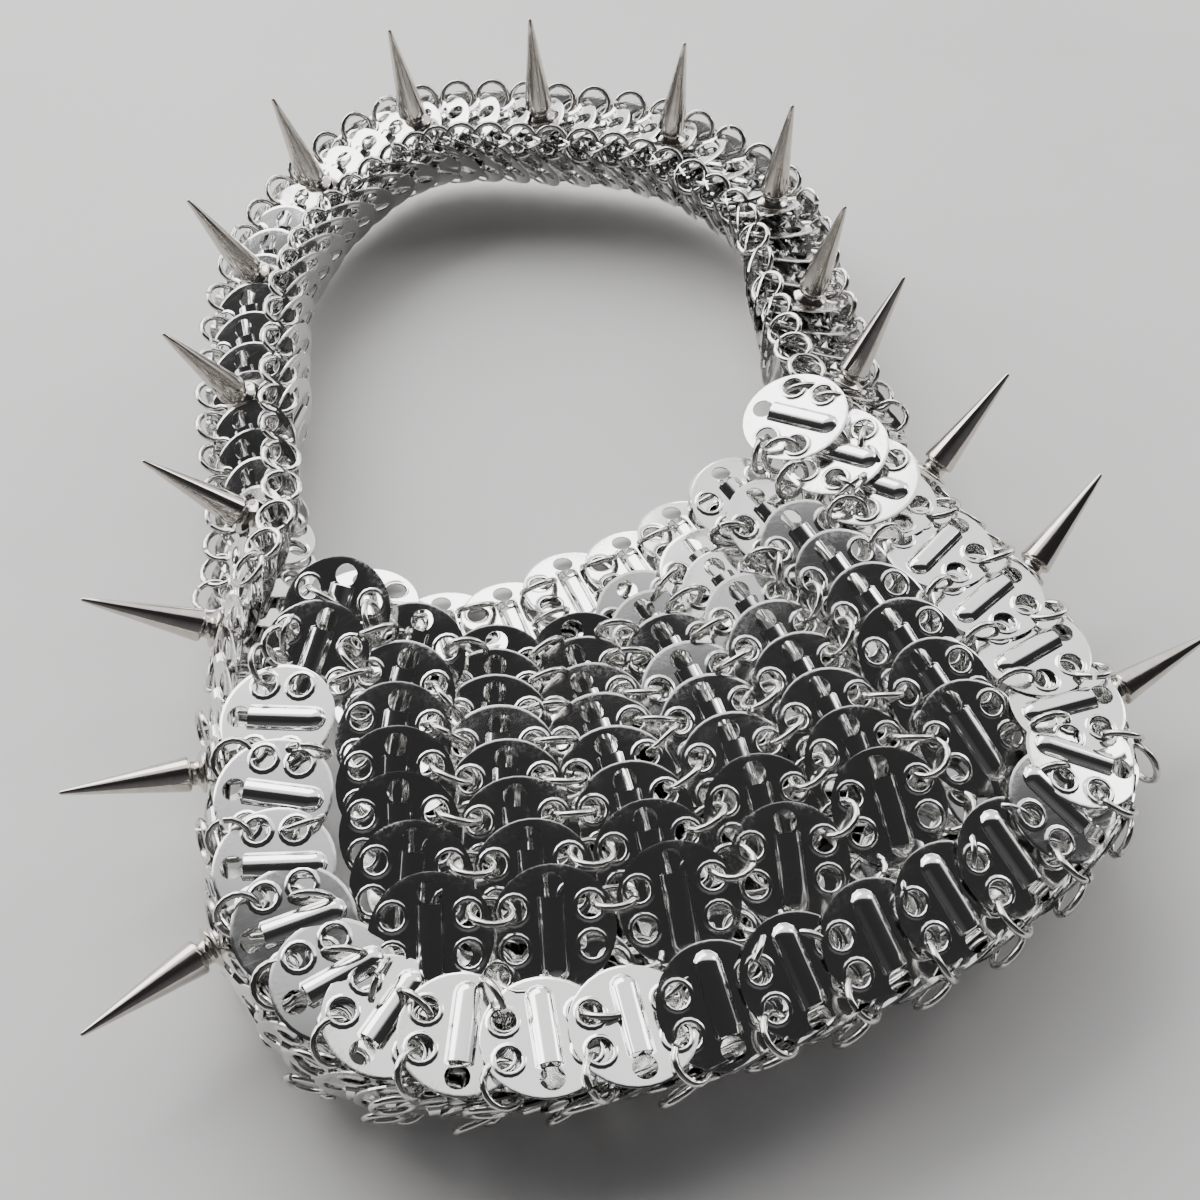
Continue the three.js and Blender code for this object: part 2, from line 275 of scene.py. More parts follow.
# One pressed disc: four ring holes with raised lips, a half-round ridge that is closed at one end and
# opens at the other into a plain hole, and an edge that turns down a little.
DISC_RADIUS = DISC / 2
RING_HOLE_ALONG = 0.00465
RING_HOLE_ASIDE = 0.009
PLAIN_HOLE_ALONG = 0.0102
PLAIN_HOLE_RADIUS = 0.0030
RIDGE_HEIGHT = 0.0020
RIDGE_HALF_WIDTH = 0.0032
RIDGE_CLOSED_END = -0.0095
RIDGE_OPEN_END = 0.0071
RIDGE_SLIT = 0.0002
# The lip's profile: how far out, how high, and how far the surface leans outwards there, in degrees
LIP = np.array([(0.00290, 0.00040, -50), (0.00335, 0.00072, -4), (0.00390, 0.00042, 26), (0.00445, 0, 0)])
# The lines that the sheet is cut along: the ridge's as shares of its half width, those of its mouth as
# shares of the outermost of these, and the one inside the edge as a share of the radius
RIDGE_LINES = np.array([0.0, 0.5, 0.82, 0.97, 1.10])
MOUTH_LINES = (-1, -0.6, 0, 0.6, 1)
EDGE_LINE = 0.94
# How far the very edge turns down, in degrees, and drops
EDGE_LEAN = 14.0
EDGE_DROP = 0.0001
HOLE_STEPS = 16
EDGE_STEPS = 36
RIDGE_END_STEPS = 7
# The share of a hole's radius within which a triangle's middle belongs to the hole
IN_HOLE = 0.97
TOLERANCE = 1e-7
RING_HOLES = [(a * RING_HOLE_ALONG, b * RING_HOLE_ASIDE) for a in (1, -1) for b in (1, -1)]


def circle(centre, radius, steps):
    angle = np.arange(steps) * 2 * np.pi / steps
    return np.column_stack([centre[0] + radius * np.cos(angle), centre[1] + radius * np.sin(angle)])


def disc_relief(flat):
    """Height and normal of the pressed sheet at flat places. The ridge is half an ellipse over the distance
    from its axis, the lips follow their profile over the distance from their hole."""
    height = np.zeros(len(flat))
    lean = np.zeros(len(flat))
    outward = np.zeros((len(flat), 2))
    edge = np.linalg.norm(flat, axis=1)
    turned = edge > DISC_RADIUS * (1 + EDGE_LINE) / 2
    lean[turned] = np.radians(EDGE_LEAN)
    height[turned] = -EDGE_DROP
    outward[turned] = flat[turned] / edge[turned, None]
    for centre in RING_HOLES:
        gap = flat - centre
        distance = np.linalg.norm(gap, axis=1)
        near = distance < LIP[-1, 0] + TOLERANCE
        height[near] = np.interp(distance[near], LIP[:, 0], LIP[:, 1])
        lean[near] = np.radians(np.interp(distance[near], LIP[:, 0], LIP[:, 2]))
        outward[near] = gap[near] / distance[near, None]
    gap = np.column_stack([np.minimum(flat[:, 0] - RIDGE_CLOSED_END, 0), flat[:, 1]])
    distance = np.linalg.norm(gap, axis=1)
    near = (distance < RIDGE_HALF_WIDTH) & (flat[:, 0] < RIDGE_OPEN_END + RIDGE_SLIT / 2)
    share = distance[near] / RIDGE_HALF_WIDTH
    rise = np.sqrt(1 - share**2)
    height[near] = RIDGE_HEIGHT * rise
    lean[near] = np.arctan2(RIDGE_HEIGHT * share, RIDGE_HALF_WIDTH * rise)
    outward[near] = gap[near] / np.maximum(distance[near, None], TOLERANCE)
    normal = np.column_stack([outward * np.sin(lean)[:, None], np.cos(lean)])
    return height, normal


def disc_lines():
    """The flat lines that the disc is cut along, as places and pairs of their numbers: its outline and those
    of every hole, lip and ridge."""
    loops = [circle((0, 0), DISC_RADIUS, EDGE_STEPS), circle((0, 0), DISC_RADIUS * EDGE_LINE, EDGE_STEPS)]
    for centre in RING_HOLES:
        loops += [circle(centre, radius, HOLE_STEPS) for radius in LIP[:, 0]]
    loops.append(circle((PLAIN_HOLE_ALONG, 0), PLAIN_HOLE_RADIUS, HOLE_STEPS))
    points = np.concatenate(loops)
    edges = []
    start = 0
    for loop in loops:
        number = np.arange(len(loop))
        edges += np.column_stack([start + number, start + (number + 1) % len(loop)]).tolist()
        start += len(loop)
    for line in RIDGE_LINES:
        bend = np.radians(np.linspace(90, 270, RIDGE_END_STEPS if line else 2))
        half = RIDGE_HALF_WIDTH * line
        closed = np.column_stack([RIDGE_CLOSED_END + half * np.cos(bend), half * np.sin(bend)])
        route = np.concatenate([[(RIDGE_OPEN_END, half)], closed, [(RIDGE_OPEN_END, -half)]])
        number = np.arange(len(route) - 1)
        edges += np.column_stack([start + number, start + number + 1]).tolist()
        points = np.concatenate([points, route])
        start += len(route)
    foot = RIDGE_HALF_WIDTH * RIDGE_LINES[-1]
    mouth = [(RIDGE_OPEN_END + RIDGE_SLIT, foot * share) for share in MOUTH_LINES]
    return np.concatenate([points, mouth]), edges


def flat_disc():
    """The flat disc's places and its triangles, all anticlockwise, with the holes and the slit at the ridge's
    open end left out."""
    points, edges = disc_lines()
    found = delaunay_2d_cdt([Vector(p) for p in points.tolist()], edges, [], 0, TOLERANCE)
    flat = np.array([tuple(p) for p in found[0]])
    faces = np.array(found[2])
    middle = flat[faces].mean(axis=1)
    keep = np.linalg.norm(middle, axis=1) < DISC_RADIUS
    for centre in RING_HOLES:
        keep &= np.linalg.norm(middle - centre, axis=1) > LIP[0, 0] * IN_HOLE
    keep &= np.linalg.norm(middle - (PLAIN_HOLE_ALONG, 0), axis=1) > PLAIN_HOLE_RADIUS * IN_HOLE
    in_slit = (middle[:, 0] > RIDGE_OPEN_END) & (middle[:, 0] < RIDGE_OPEN_END + RIDGE_SLIT)
    in_slit &= np.abs(middle[:, 1]) < RIDGE_HALF_WIDTH
    faces = faces[keep & ~in_slit]
    used, faces = np.unique(faces, return_inverse=True)
    faces = faces.reshape(-1, 3)
    flat = flat[used]
    first, second = flat[faces[:, 1]] - flat[faces[:, 0]], flat[faces[:, 2]] - flat[faces[:, 0]]
    wrong = first[:, 0] * second[:, 1] - first[:, 1] * second[:, 0] < 0
    faces[wrong] = faces[wrong][:, ::-1]
    return flat, faces


def pressed_disc():
    """The disc as one closed sheet: the flat one raised by disc_relief, doubled a sheet's thickness below and
    closed round each edge. Gives its points, triangles and the normals at the triangles' corners."""
    flat, faces = flat_disc()
    height, normal = disc_relief(flat)
    top = np.column_stack([flat, height])
    below = top - SHEET * normal
    sides = np.concatenate([faces[:, [0, 1]], faces[:, [1, 2]], faces[:, [2, 0]]])
    key = np.sort(sides, axis=1)
    _, back_to, count = np.unique(key, axis=0, return_inverse=True, return_counts=True)
    rim = sides[count[back_to.ravel()] == 1]
    n = len(flat)
    walls = np.concatenate([
        np.column_stack([rim[:, 1], rim[:, 0], rim[:, 0] + n]),
        np.column_stack([rim[:, 1], rim[:, 0] + n, rim[:, 1] + n]),
    ])
    step = flat[rim[:, 1]] - flat[rim[:, 0]]
    aside = unit(np.column_stack([step[:, 1], -step[:, 0], np.zeros(len(rim))]))
    corner_normals = np.concatenate([
        normal[faces], -normal[faces[:, ::-1]],
        np.repeat(np.concatenate([aside, aside])[:, None, :], 3, axis=1),
    ])
    triangles = np.concatenate([faces, faces[:, ::-1] + n, walls])
    return np.concatenate([top, below]), triangles, corner_normals


def joined_mesh(name, points, triangles, normals, middles, axes, finish):
    """Many copies of one small shape as one mesh: each is turned by its axes (n, 3, 3), whose columns are the
    shape's own directions, and moved to its middle. The shape's flat places go along as a UV map."""
    count = len(middles)
    placed = np.einsum("nij,vj->nvi", axes, points) + middles[:, None, :]
    faces = triangles[None] + (np.arange(count) * len(points))[:, None, None]
    shading = np.einsum("nij,tcj->ntci", axes, normals)
    mesh = bpy.data.meshes.new(name)
    mesh.vertices.add(placed.shape[0] * placed.shape[1])
    mesh.vertices.foreach_set("co", placed.astype(np.float32).ravel())
    loops = faces.reshape(-1)
    mesh.loops.add(len(loops))
    mesh.loops.foreach_set("vertex_index", loops.astype(np.int32))
    mesh.polygons.add(len(loops) // 3)
    mesh.polygons.foreach_set("loop_start", np.arange(0, len(loops), 3, dtype=np.int32))
    mesh.update(calc_edges=True)
    flat = np.tile(points[:, :2][triangles].reshape(-1, 2) / DISC + 0.5, (count, 1))
    mesh.uv_layers.new(name="flat").data.foreach_set("uv", flat.astype(np.float32).ravel())
    tone = mesh.attributes.new("tone", "FLOAT", "POINT")
    tone.data.foreach_set("value", np.repeat(dice.random(count), len(points)).astype(np.float32))
    mesh.normals_split_custom_set(shading.reshape(-1, 3).tolist())
    mesh.materials.append(finish.material)
    piece = bpy.data.objects.new(name, mesh)
    bpy.context.collection.objects.link(piece)
    return piece


CLEAR_OF_FLOOR = 0.0008
SPIN_LOOSER = 1.5
dice = np.random.default_rng(7)
disc_points, disc_triangles, disc_normals = pressed_disc()

DISC_SILVER = (0.83, 0.83, 0.82, 1.0)
DISC_DULL = (0.60, 0.59, 0.57, 1.0)

# Polished plate: bright and smooth in the middle, with a fine mottled haze that tumbling leaves near the
# edge, and hair-fine scratches
disc_metal = Finish("disc_metal", Metallic=1.0)
flat_place = disc_metal.node("ShaderNodeUVMap", {"uv_map": "flat"}, None, "UV")
tone = disc_metal.node("ShaderNodeAttribute", {"attribute_name": "tone"}, None, "Fac")
from_middle = disc_metal.node("ShaderNodeVectorMath", {"operation": "DISTANCE"},
                              {0: flat_place, 1: (0.5, 0.5, 0.0)}, "Value")
mottle = disc_metal.noise(disc_metal.place(), 900.0, 2.0, 0.7)
patches = disc_metal.noise(disc_metal.place(), 95.0, 1.0).clipped(0.42, 0.68)
haze = from_middle.clipped(0.33, 0.5) * patches * mottle.clipped(0.35, 0.65)
scratches = disc_metal.noise(disc_metal.node(
    "ShaderNodeMapping", {"vector_type": "POINT"},
    {"Vector": disc_metal.place(), "Scale": (160.0, 1900.0, 300.0)}), 1.0, 1.0).clipped(0.55, 0.8)
grain = disc_metal.node("ShaderNodeBump", None, {"Strength": 0.05, "Distance": 0.0002,
                                                  "Height": mottle * haze + patches * 0.4}, "Normal")
disc_metal.drive(
    Base_Color=disc_metal.mix(haze * 0.5 + tone * 0.15, DISC_SILVER, DISC_DULL),
    Roughness=0.085 + haze * 0.26 + scratches * 0.05 + tone * 0.05,
    Normal=grain,
)


def lean_over(axes, pitch=0.0, roll=0.0, spin=0.0):
    """Turns discs in their own directions, in degrees: pitch raises the plain-hole end, roll raises the side
    to the left of it and spin turns the ridge towards that side."""
    for first, second, degrees in ((0, 1, spin), (0, 2, pitch), (1, 2, roll)):
        angle = np.radians(np.broadcast_to(degrees, len(axes)))[:, None]
        one, two = axes[:, :, first].copy(), axes[:, :, second].copy()
        axes[:, :, first] = one * np.cos(angle) + two * np.sin(angle)
        axes[:, :, second] = two * np.cos(angle) - one * np.sin(angle)
    return axes


def above_floor(middles, normals, radius):
    """The middles, raised where a round flat thing of that radius would reach through the floor."""
    lowest = middles[:, 2] - radius * np.sqrt(np.clip(1 - normals[:, 2] ** 2, 0, 1))
    return middles + np.maximum(CLEAR_OF_FLOOR - lowest, 0)[:, None] * UP


def lay_discs(name, node, middles, ridge, face, pitch=0.0, roll=0.0, spin=0.0, loose=2.0):
    """A run of discs as one piece, which stands for the CAD wall named by node, or for none. ridge points to
    each disc's plain hole and face to its outer side; pitch, roll and spin are those of lean_over, and loose
    is how many degrees they lie off by chance."""
    ridge, face = unit(ridge), unit(face)
    aside = unit(np.cross(face, ridge))
    axes = np.stack([ridge, aside, np.cross(ridge, aside)], axis=2)
    chance = dice.normal(0, loose / 2, (3, len(middles)))
    axes = lean_over(axes, pitch + chance[0], roll + chance[1], spin + SPIN_LOOSER * chance[2])
    middles = above_floor(middles, axes[:, :, 2], DISC_RADIUS)
    piece = joined_mesh(name, disc_points, disc_triangles, disc_normals, middles, axes, disc_metal)
    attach(piece, "root")
    if node:
        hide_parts(node)
    return SimpleNamespace(middles=middles, axes=axes)


def hole_of(discs, along, aside):
    """Where a ring hole of each disc is: along 1 is the end by the plain hole and aside 1 the left of the
    ridge."""
    spot = np.array([along * RING_HOLE_ALONG, aside * RING_HOLE_ASIDE, LIP[0, 1]])
    return discs.middles + discs.axes @ spot


SCALE_PITCH = 15.0
GUSSET_PITCH = 9.0
SCALE_SINK = 0.0018
SPIKE_TO_DISC = 0.13
HANDLE_OVER = 0.1
band_rows = np.arange(ROWS * DISCS_PER_ROW) / DISCS_PER_ROW - SPIKE_TO_DISC
on_handle = (band_rows > LEFT_SHOULDER - HANDLE_OVER) & (band_rows < RIGHT_SHOULDER - HANDLE_OVER)
s = section(band_rows[~on_handle])
lay_discs("gusset_discs", "gusset_band", s.middle - SCALE_SINK * s.outward, s.along, s.outward, GUSSET_PITCH)


# The rims: one row of discs round the front face and one round the back, ridges pointing in and plain
# holes out, at a wider pitch than the gusset. Each lies a little over the next one clockwise. The back
# one has three discs more, as it also runs under the front's shoulder discs.
RIM_DISCS = 21
BACK_EXTRA = 3
RIM_ROLL = 4.5
RIM_INSET = DISC * 0.52
RIM_LIFT = 0.0012
FRONT_RIM_ENDS = (13.15, 23.1)
BACK_RIM_ENDS = (12.75, 24.0)
# How far the front discs' outer ends are raised and how far their ridges turn from square to the band, in
# degrees, at places counted in rows
RIM_PITCH = ([13.0, 15.4, 16.2, 18.65, 19.05, 21.1, 21.4, 23.5], [0, 0, -13, -13, 10, 10, 1, 1])
RIM_SPIN = ([13.0, 15.2, 16.2, 20.0, 20.9, 22.0, 23.5], [18, 15, 0, 0, -18, -14, -10])


def even_rows(ends, count, corner):
    """That many places from one row to the other, at equal steps along the band's corner line."""
    fine = np.linspace(*ends, 400)
    line = getattr(section(fine), corner)
    length = np.concatenate([[0], np.cumsum(np.linalg.norm(np.diff(line, axis=0), axis=1))])
    return np.interp(np.linspace(0, length[-1], count), length, fine)


front_rim_rows = even_rows(FRONT_RIM_ENDS, RIM_DISCS, "front_corner")
s = section(front_rim_rows)
front_rim = lay_discs("front_rim_discs", "front_rim",
                      s.front_corner + RIM_INSET * s.front_slope + RIM_LIFT * s.front_face,
                      -s.front_slope, s.front_face, np.interp(front_rim_rows, *RIM_PITCH), -RIM_ROLL,
                      np.interp(front_rim_rows, *RIM_SPIN))
front_rim.section = s
back_rim_rows = even_rows(BACK_RIM_ENDS, RIM_DISCS + BACK_EXTRA, "back_corner")
s = section(back_rim_rows)
back_rim = lay_discs("back_rim_discs", "back_rim", s.back_corner + RIM_INSET * s.back_slope,
                     -s.back_slope, s.back_face, 0.0, RIM_ROLL)
back_rim.section = s


# The shoulder discs: two at the left and three at the right, linked loosely over the ends of the front rim
# where it meets the handle. Each row gives x, y and z of a disc's middle from the bottom rim's middle, the
# way from its closed end to its plain hole in degrees clockwise from +Y, its pitch and its roll.
SHOULDER_DISCS = np.array([
    (-0.0785, 0.1320, 0.0400, 41, 26, -4), (-0.0695, 0.1425, 0.0410, 41, 28, -4),
    (0.0690, 0.1575, 0.0455, -39, -12, -8), (0.0750, 0.1435, 0.0440, -39, -12, -8),
    (0.0790, 0.1320, 0.0425, -39, -12, -8),
])
way = np.radians(SHOULDER_DISCS[:, 3])
shoulder = lay_discs("shoulder_discs", None, SHOULDER_DISCS[:, :3] + PURSE_START,
                     np.column_stack([np.sin(way), np.cos(way), np.zeros(len(way))]),
                     np.tile(UP, (len(way), 1)), SHOULDER_DISCS[:, 4], SHOULDER_DISCS[:, 5])


# The front panel: six columns of discs with their plain holes towards the mouth. The lower disc lies over
# the one above it, and the outer columns over the inner ones. The table has one row for each column, from
# the left: its discs, then x and y of its plain holes at the mouth, halfway and at the foot, as shares of
# the half width and of the reach, all at the height of the rim as the camera sees it, and the way of its
# ridges at those three places, in degrees clockwise from +Y. One more disc than the photograph shows goes on
# past the foot, under the rim, and closes the gaps there.
HIDDEN = 1
FRONT_COLUMNS = [
    (8, (-0.434, 0.397), (-0.584, 0.303), (-0.619, 0.182), (40, 20, 19)),
    (9, (-0.292, 0.358), (-0.363, 0.279), (-0.376, 0.158), (23, 18, 16)),
    (9, (-0.124, 0.348), (-0.150, 0.264), (-0.115, 0.145), (0, 3, 10)),
    (9, (0.044, 0.370), (0.097, 0.282), (0.150, 0.145), (-14, -4, 13)),
    (9, (0.239, 0.397), (0.323, 0.291), (0.398, 0.161), (-15, -8, 5)),
    (9, (0.389, 0.458), (0.540, 0.333), (0.624, 0.191), (-18, -17, -12)),
]
RIM_LEVEL = 0.036
# The pitch of each column at the mouth and of all of them a third of the way down, at the foot and past it
MOUTH_PITCH = (33, 38, 39, 33, 12, 4)
THIRD_PITCH = 30
FOOT_PITCH = 18
HIDDEN_PITCH = 6
THIRD_WAY = 0.34
PAST_FOOT = 1.1
PANEL_ROLL = 4.0
MOUTH_SINK = 0.0013
FOOT_SINK = 0.0036
HIDDEN_SINK = 0.0085
COLUMN_STEP = 0.0008


def wall_of(node):
    """A CAD wall as a tree that a line can be sent through."""
    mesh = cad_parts[node].data
    places = [v.co.copy() for v in mesh.vertices]
    return BVHTree.FromPolygons(places, [tuple(p.vertices) for p in mesh.polygons])


def on_panel(flat, walls):
    """Where the line from the camera through each flat place at the rim's height meets one of the walls."""
    found = []
    for x, y in flat:
        target = np.array([x, y, RIM_LEVEL]) + PURSE_START
        way = Vector(unit(target - EYE).tolist())
        hits = [wall.ray_cast(Vector(EYE.tolist()), way)[0] for wall in walls]
        near = [np.array(place) for place in hits if place is not None]
        found.append(min(near, key=lambda p: np.linalg.norm(p - EYE)) if near else target)
    return np.array(found)


def parabola(start, middle, end, shares):
    """The curve that goes through three points at shares 0, a half and 1."""
    t = shares[:, None]
    return start * (1 - t) * (1 - 2 * t) + middle * 4 * t * (1 - t) + end * t * (2 * t - 1)


front_walls = [wall_of("front_panel"), wall_of("front_rim")]
middles, ridges, faces, pitches, rolls, columns = [], [], [], [], [], []
for number, (count, *places, ways) in enumerate(FRONT_COLUMNS):
    share = np.arange(count) / (count - HIDDEN - 1)
    line = on_panel(parabola(*np.array(places) * (HALF_BODY, REACH), share), front_walls)
    way = np.radians(np.interp(share, (0, 0.5, 1), ways))
    step = np.gradient(line, axis=0)
    rise = -step[:, 2] / np.linalg.norm(step[:, :2], axis=1)
    ridge = unit(np.column_stack([np.sin(way), np.cos(way), rise]))
    face = unit(np.cross(np.column_stack([np.cos(way), -np.sin(way), np.zeros(count)]), ridge))
    off_middle = number - (len(FRONT_COLUMNS) - 1) / 2
    sink = np.interp(share, (0, 1, PAST_FOOT), (MOUTH_SINK, FOOT_SINK, HIDDEN_SINK))[:, None]
    middles.append(line - PLAIN_HOLE_ALONG * ridge + (abs(off_middle) * COLUMN_STEP - sink) * face)
    ridges.append(ridge)
    faces.append(face)
    pitches.append(np.interp(share, (0, THIRD_WAY, 1, PAST_FOOT),
                             (MOUTH_PITCH[number], THIRD_PITCH, FOOT_PITCH, HIDDEN_PITCH)))
    rolls.append(np.full(count, np.sign(off_middle) * PANEL_ROLL))
    columns.append(np.full(count, number))
front_panel = lay_discs("front_panel_discs", "front_panel", np.concatenate(middles), np.concatenate(ridges),
                        np.concatenate(faces), np.concatenate(pitches), np.concatenate(rolls))
front_panel.columns = np.concatenate(columns)


# The back panel: seven columns like those of the front, lying on the floor with their outer faces down,
# so the channel inside each ridge shows through the mouth. A row of the table gives x at the mouth and at
# the foot as shares of the half width and y at the mouth as a share of the reach.
BACK_COLUMNS = [
    (-0.504, -0.640, 0.536), (-0.336, -0.430, 0.486), (-0.177, -0.215, 0.477), (0.0, 0.0, 0.489),
    (0.168, 0.215, 0.492), (0.327, 0.430, 0.507), (0.504, 0.640, 0.534),
]
BACK_FOOT = 0.155
BACK_STEP = 0.0115
BACK_HEIGHT = 0.0050
BACK_PITCH = 12.0
BACK_ROLL = 5.0
middles, ridges, columns = [], [], []
for number, (mouth_x, foot_x, mouth_y) in enumerate(BACK_COLUMNS):
    count = int(round((mouth_y - BACK_FOOT) * REACH / BACK_STEP)) + 1
    share = np.linspace(0, 1, count)[:, None]
    mouth = np.array([mouth_x * HALF_BODY, mouth_y * REACH, BACK_HEIGHT]) + PURSE_START
    foot = np.array([foot_x * HALF_BODY, BACK_FOOT * REACH, BACK_HEIGHT]) + PURSE_START
    ridge = np.tile(unit(mouth - foot), (count, 1))
    middles.append(mouth + (foot - mouth) * share - PLAIN_HOLE_ALONG * ridge)
    ridges.append(ridge)
    columns.append(np.full(count, number))
middles, ridges = np.concatenate(middles), np.concatenate(ridges)
back_panel = lay_discs("back_panel_discs", "back_panel", middles, ridges, np.tile(-UP, (len(middles), 1)),
                       BACK_PITCH, BACK_ROLL, loose=1.0)
back_panel.columns = np.concatenate(columns)


# The handle: three columns of discs side by side, ridges along it. The middle one faces up and is the
# gusset's band carried on; the two others fold down at the rings as the strap's inner and outer side.
HANDLE_PITCH = 24.0
SIDE_INSET = DISC * 0.43
INNER_PITCH = 28.0
INNER_ROLL = 8.0
INNER_START = LEFT_SHOULDER + 1.4
INNER_END = RIGHT_SHOULDER - 1.2
handle_rows = band_rows[on_handle]
s = section(handle_rows)
handle = lay_discs("handle_band_discs", "handle_band", s.middle - SCALE_SINK * s.outward, s.along, s.outward,
                   HANDLE_PITCH)
handle.section = s
inside = (handle_rows > INNER_START) & (handle_rows < INNER_END)
lay_discs("handle_inner_discs", "handle_inner_side",
          (s.front_corner + SIDE_INSET * s.front_slope - SCALE_SINK * s.front_face)[inside],
          s.along[inside], s.front_face[inside], INNER_PITCH, INNER_ROLL)
lay_discs("handle_outer_discs", "handle_outer_side",
          s.back_corner + SIDE_INSET * s.back_slope - SCALE_SINK * s.back_face,
          s.along, s.back_face, SCALE_PITCH)


# The jump rings: round wire bent to a ring and pushed shut, each through the stacked holes of the discs
# on both sides of a joint. Those of one joint are one piece.
RING_RADIUS = 0.0052
RING_WIRE = 0.00092
RING_STEPS = 16
WIRE_STEPS = 6
RING_CUT = 5.0
RING_STEEL = (0.72, 0.71, 0.69, 1.0)
RING_SHADE = (0.45, 0.43, 0.40, 1.0)


def wire_ring():
    """A torus with a narrow cut: a small circle carried round a large one from one end of the cut to the
    other, with both ends closed by a fan."""
    bend = np.radians(np.linspace(RING_CUT, 360 - RING_CUT, RING_STEPS + 1))[:, None]
    turn = (np.arange(WIRE_STEPS) * 2 * np.pi / WIRE_STEPS)[None, :]
    level = np.zeros_like(bend + turn)
    flat, rise = np.cos(turn), np.sin(turn) + level
    outward = np.stack([np.cos(bend) * flat, np.sin(bend) * flat, rise], axis=2)
    spine = np.stack([np.cos(bend) + level, np.sin(bend) + level, level], axis=2) * RING_RADIUS
    points = (spine + RING_WIRE * outward).reshape(-1, 3)
    normals = outward.reshape(-1, 3)
    i, j = np.meshgrid(np.arange(RING_STEPS), np.arange(WIRE_STEPS), indexing="ij")
    a, b = i * WIRE_STEPS + j, i * WIRE_STEPS + (j + 1) % WIRE_STEPS
    c, d = b + WIRE_STEPS, a + WIRE_STEPS
    triangles = np.concatenate([np.stack([a, d, c], 2).reshape(-1, 3), np.stack([a, c, b], 2).reshape(-1, 3)])
    shading = normals[triangles]
    corner = np.arange(1, WIRE_STEPS - 1)
    fan = np.column_stack([np.zeros_like(corner), corner, corner + 1])
    last = RING_STEPS * WIRE_STEPS
    caps = np.concatenate([fan, last + fan[:, ::-1]])
    first_face = np.array([np.sin(bend[0, 0]), -np.cos(bend[0, 0]), 0.0])
    last_face = np.array([-np.sin(bend[-1, 0]), np.cos(bend[-1, 0]), 0.0])
    ends = np.repeat(np.stack([first_face, last_face]), (WIRE_STEPS - 2) * 3, axis=0).reshape(-1, 3, 3)
    return points, np.concatenate([triangles, caps]), np.concatenate([shading, ends])


ring_points, ring_triangles, ring_normals = wire_ring()

# Drawn steel wire, a little darker than the plate, with mottled wear
ring_metal = Finish("ring_wire", Metallic=1.0)
wear = ring_metal.noise(ring_metal.place(), 420.0).clipped(0.4, 0.7)
ring_tone = ring_metal.node("ShaderNodeAttribute", {"attribute_name": "tone"}, None, "Fac")
ring_metal.drive(Base_Color=ring_metal.mix(wear * 0.35 + ring_tone * 0.25, RING_STEEL, RING_SHADE),
                 Roughness=0.13 + wear * 0.12)


def lay_rings(name, start, end, bulge, tilt, loose):
    """Rings as one piece, each through a start and an end place. Its plane holds the line between them and
    the bulge direction, and where the two places are nearer than a ring is wide it swells towards the
    bulge. tilt turns its plane about that line, loose by chance as well, in degrees."""
    chord = end - start
    length = np.linalg.norm(chord, axis=1, keepdims=True)
    chord = chord / np.maximum(length, TOLERANCE)
    bulge = unit(bulge - (bulge * chord).sum(axis=1, keepdims=True) * chord)
    normal = np.cross(chord, bulge)
    angle = np.radians(tilt + dice.normal(0, loose, len(start)))[:, None]
    tilted = bulge * np.cos(angle) + normal * np.sin(angle)
    bulge, normal = tilted, normal * np.cos(angle) - bulge * np.sin(angle)
    half = np.minimum(length / 2, RING_RADIUS)
    middles = (start + end) / 2 + bulge * np.sqrt(RING_RADIUS**2 - half**2)
    middles = above_floor(middles, normal, RING_RADIUS + RING_WIRE)
    spin = dice.random(len(start))[:, None] * 2 * np.pi
    first = chord * np.cos(spin) + bulge * np.sin(spin)
    axes = np.stack([first, np.cross(normal, first), normal], axis=2)
    piece = joined_mesh(name, ring_points, ring_triangles, ring_normals, middles, axes, ring_metal)
    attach(piece, "root")


# The rings of the handle's two folds: how far they lie in from the corner across the band and out of it,
# which way the outer ones swell, out of the band and across it, and by how many degrees all lie off
FOLD_LOOSE = 7.0
INNER_FOLD = (0.0035, 0.0022)
OUTER_FOLD = (0.0055, 0.0002)
OUTER_BULGE = (0.8, -0.6)


def fold_rings(name, edge, along, bulge):
    """The rings of one fold of the handle, one to a disc: each goes from the stacked holes of one disc to
    those of the next and lies along the fold's edge."""
    step = along * RING_HOLE_ALONG
    lay_rings(name, edge - step, edge + step, unit(bulge), 0.0, FOLD_LOOSE)


s = handle.section
fold_rings("handle_inner_rings", s.front_corner - INNER_FOLD[0] * s.across + INNER_FOLD[1] * s.outward,
           s.along, s.front_slope + s.across)
fold_rings("handle_outer_rings", s.back_corner + OUTER_FOLD[0] * s.across + OUTER_FOLD[1] * s.outward,
           s.along, OUTER_BULGE[0] * s.outward + OUTER_BULGE[1] * s.across)


# The rings at the rims: how far they reach over the edge, from where to where the second one goes below it
# and how far off the gusset, and how far each kind swells away from the disc that it goes through
OVER_EDGE = 0.0010
BELOW_EDGE = (0.0018, 0.0085)
OFF_GUSSET = 0.0005
EDGE_BULGE = 0.8
GUSSET_BULGE = 0.1
RIM_LOOSE = 14.0


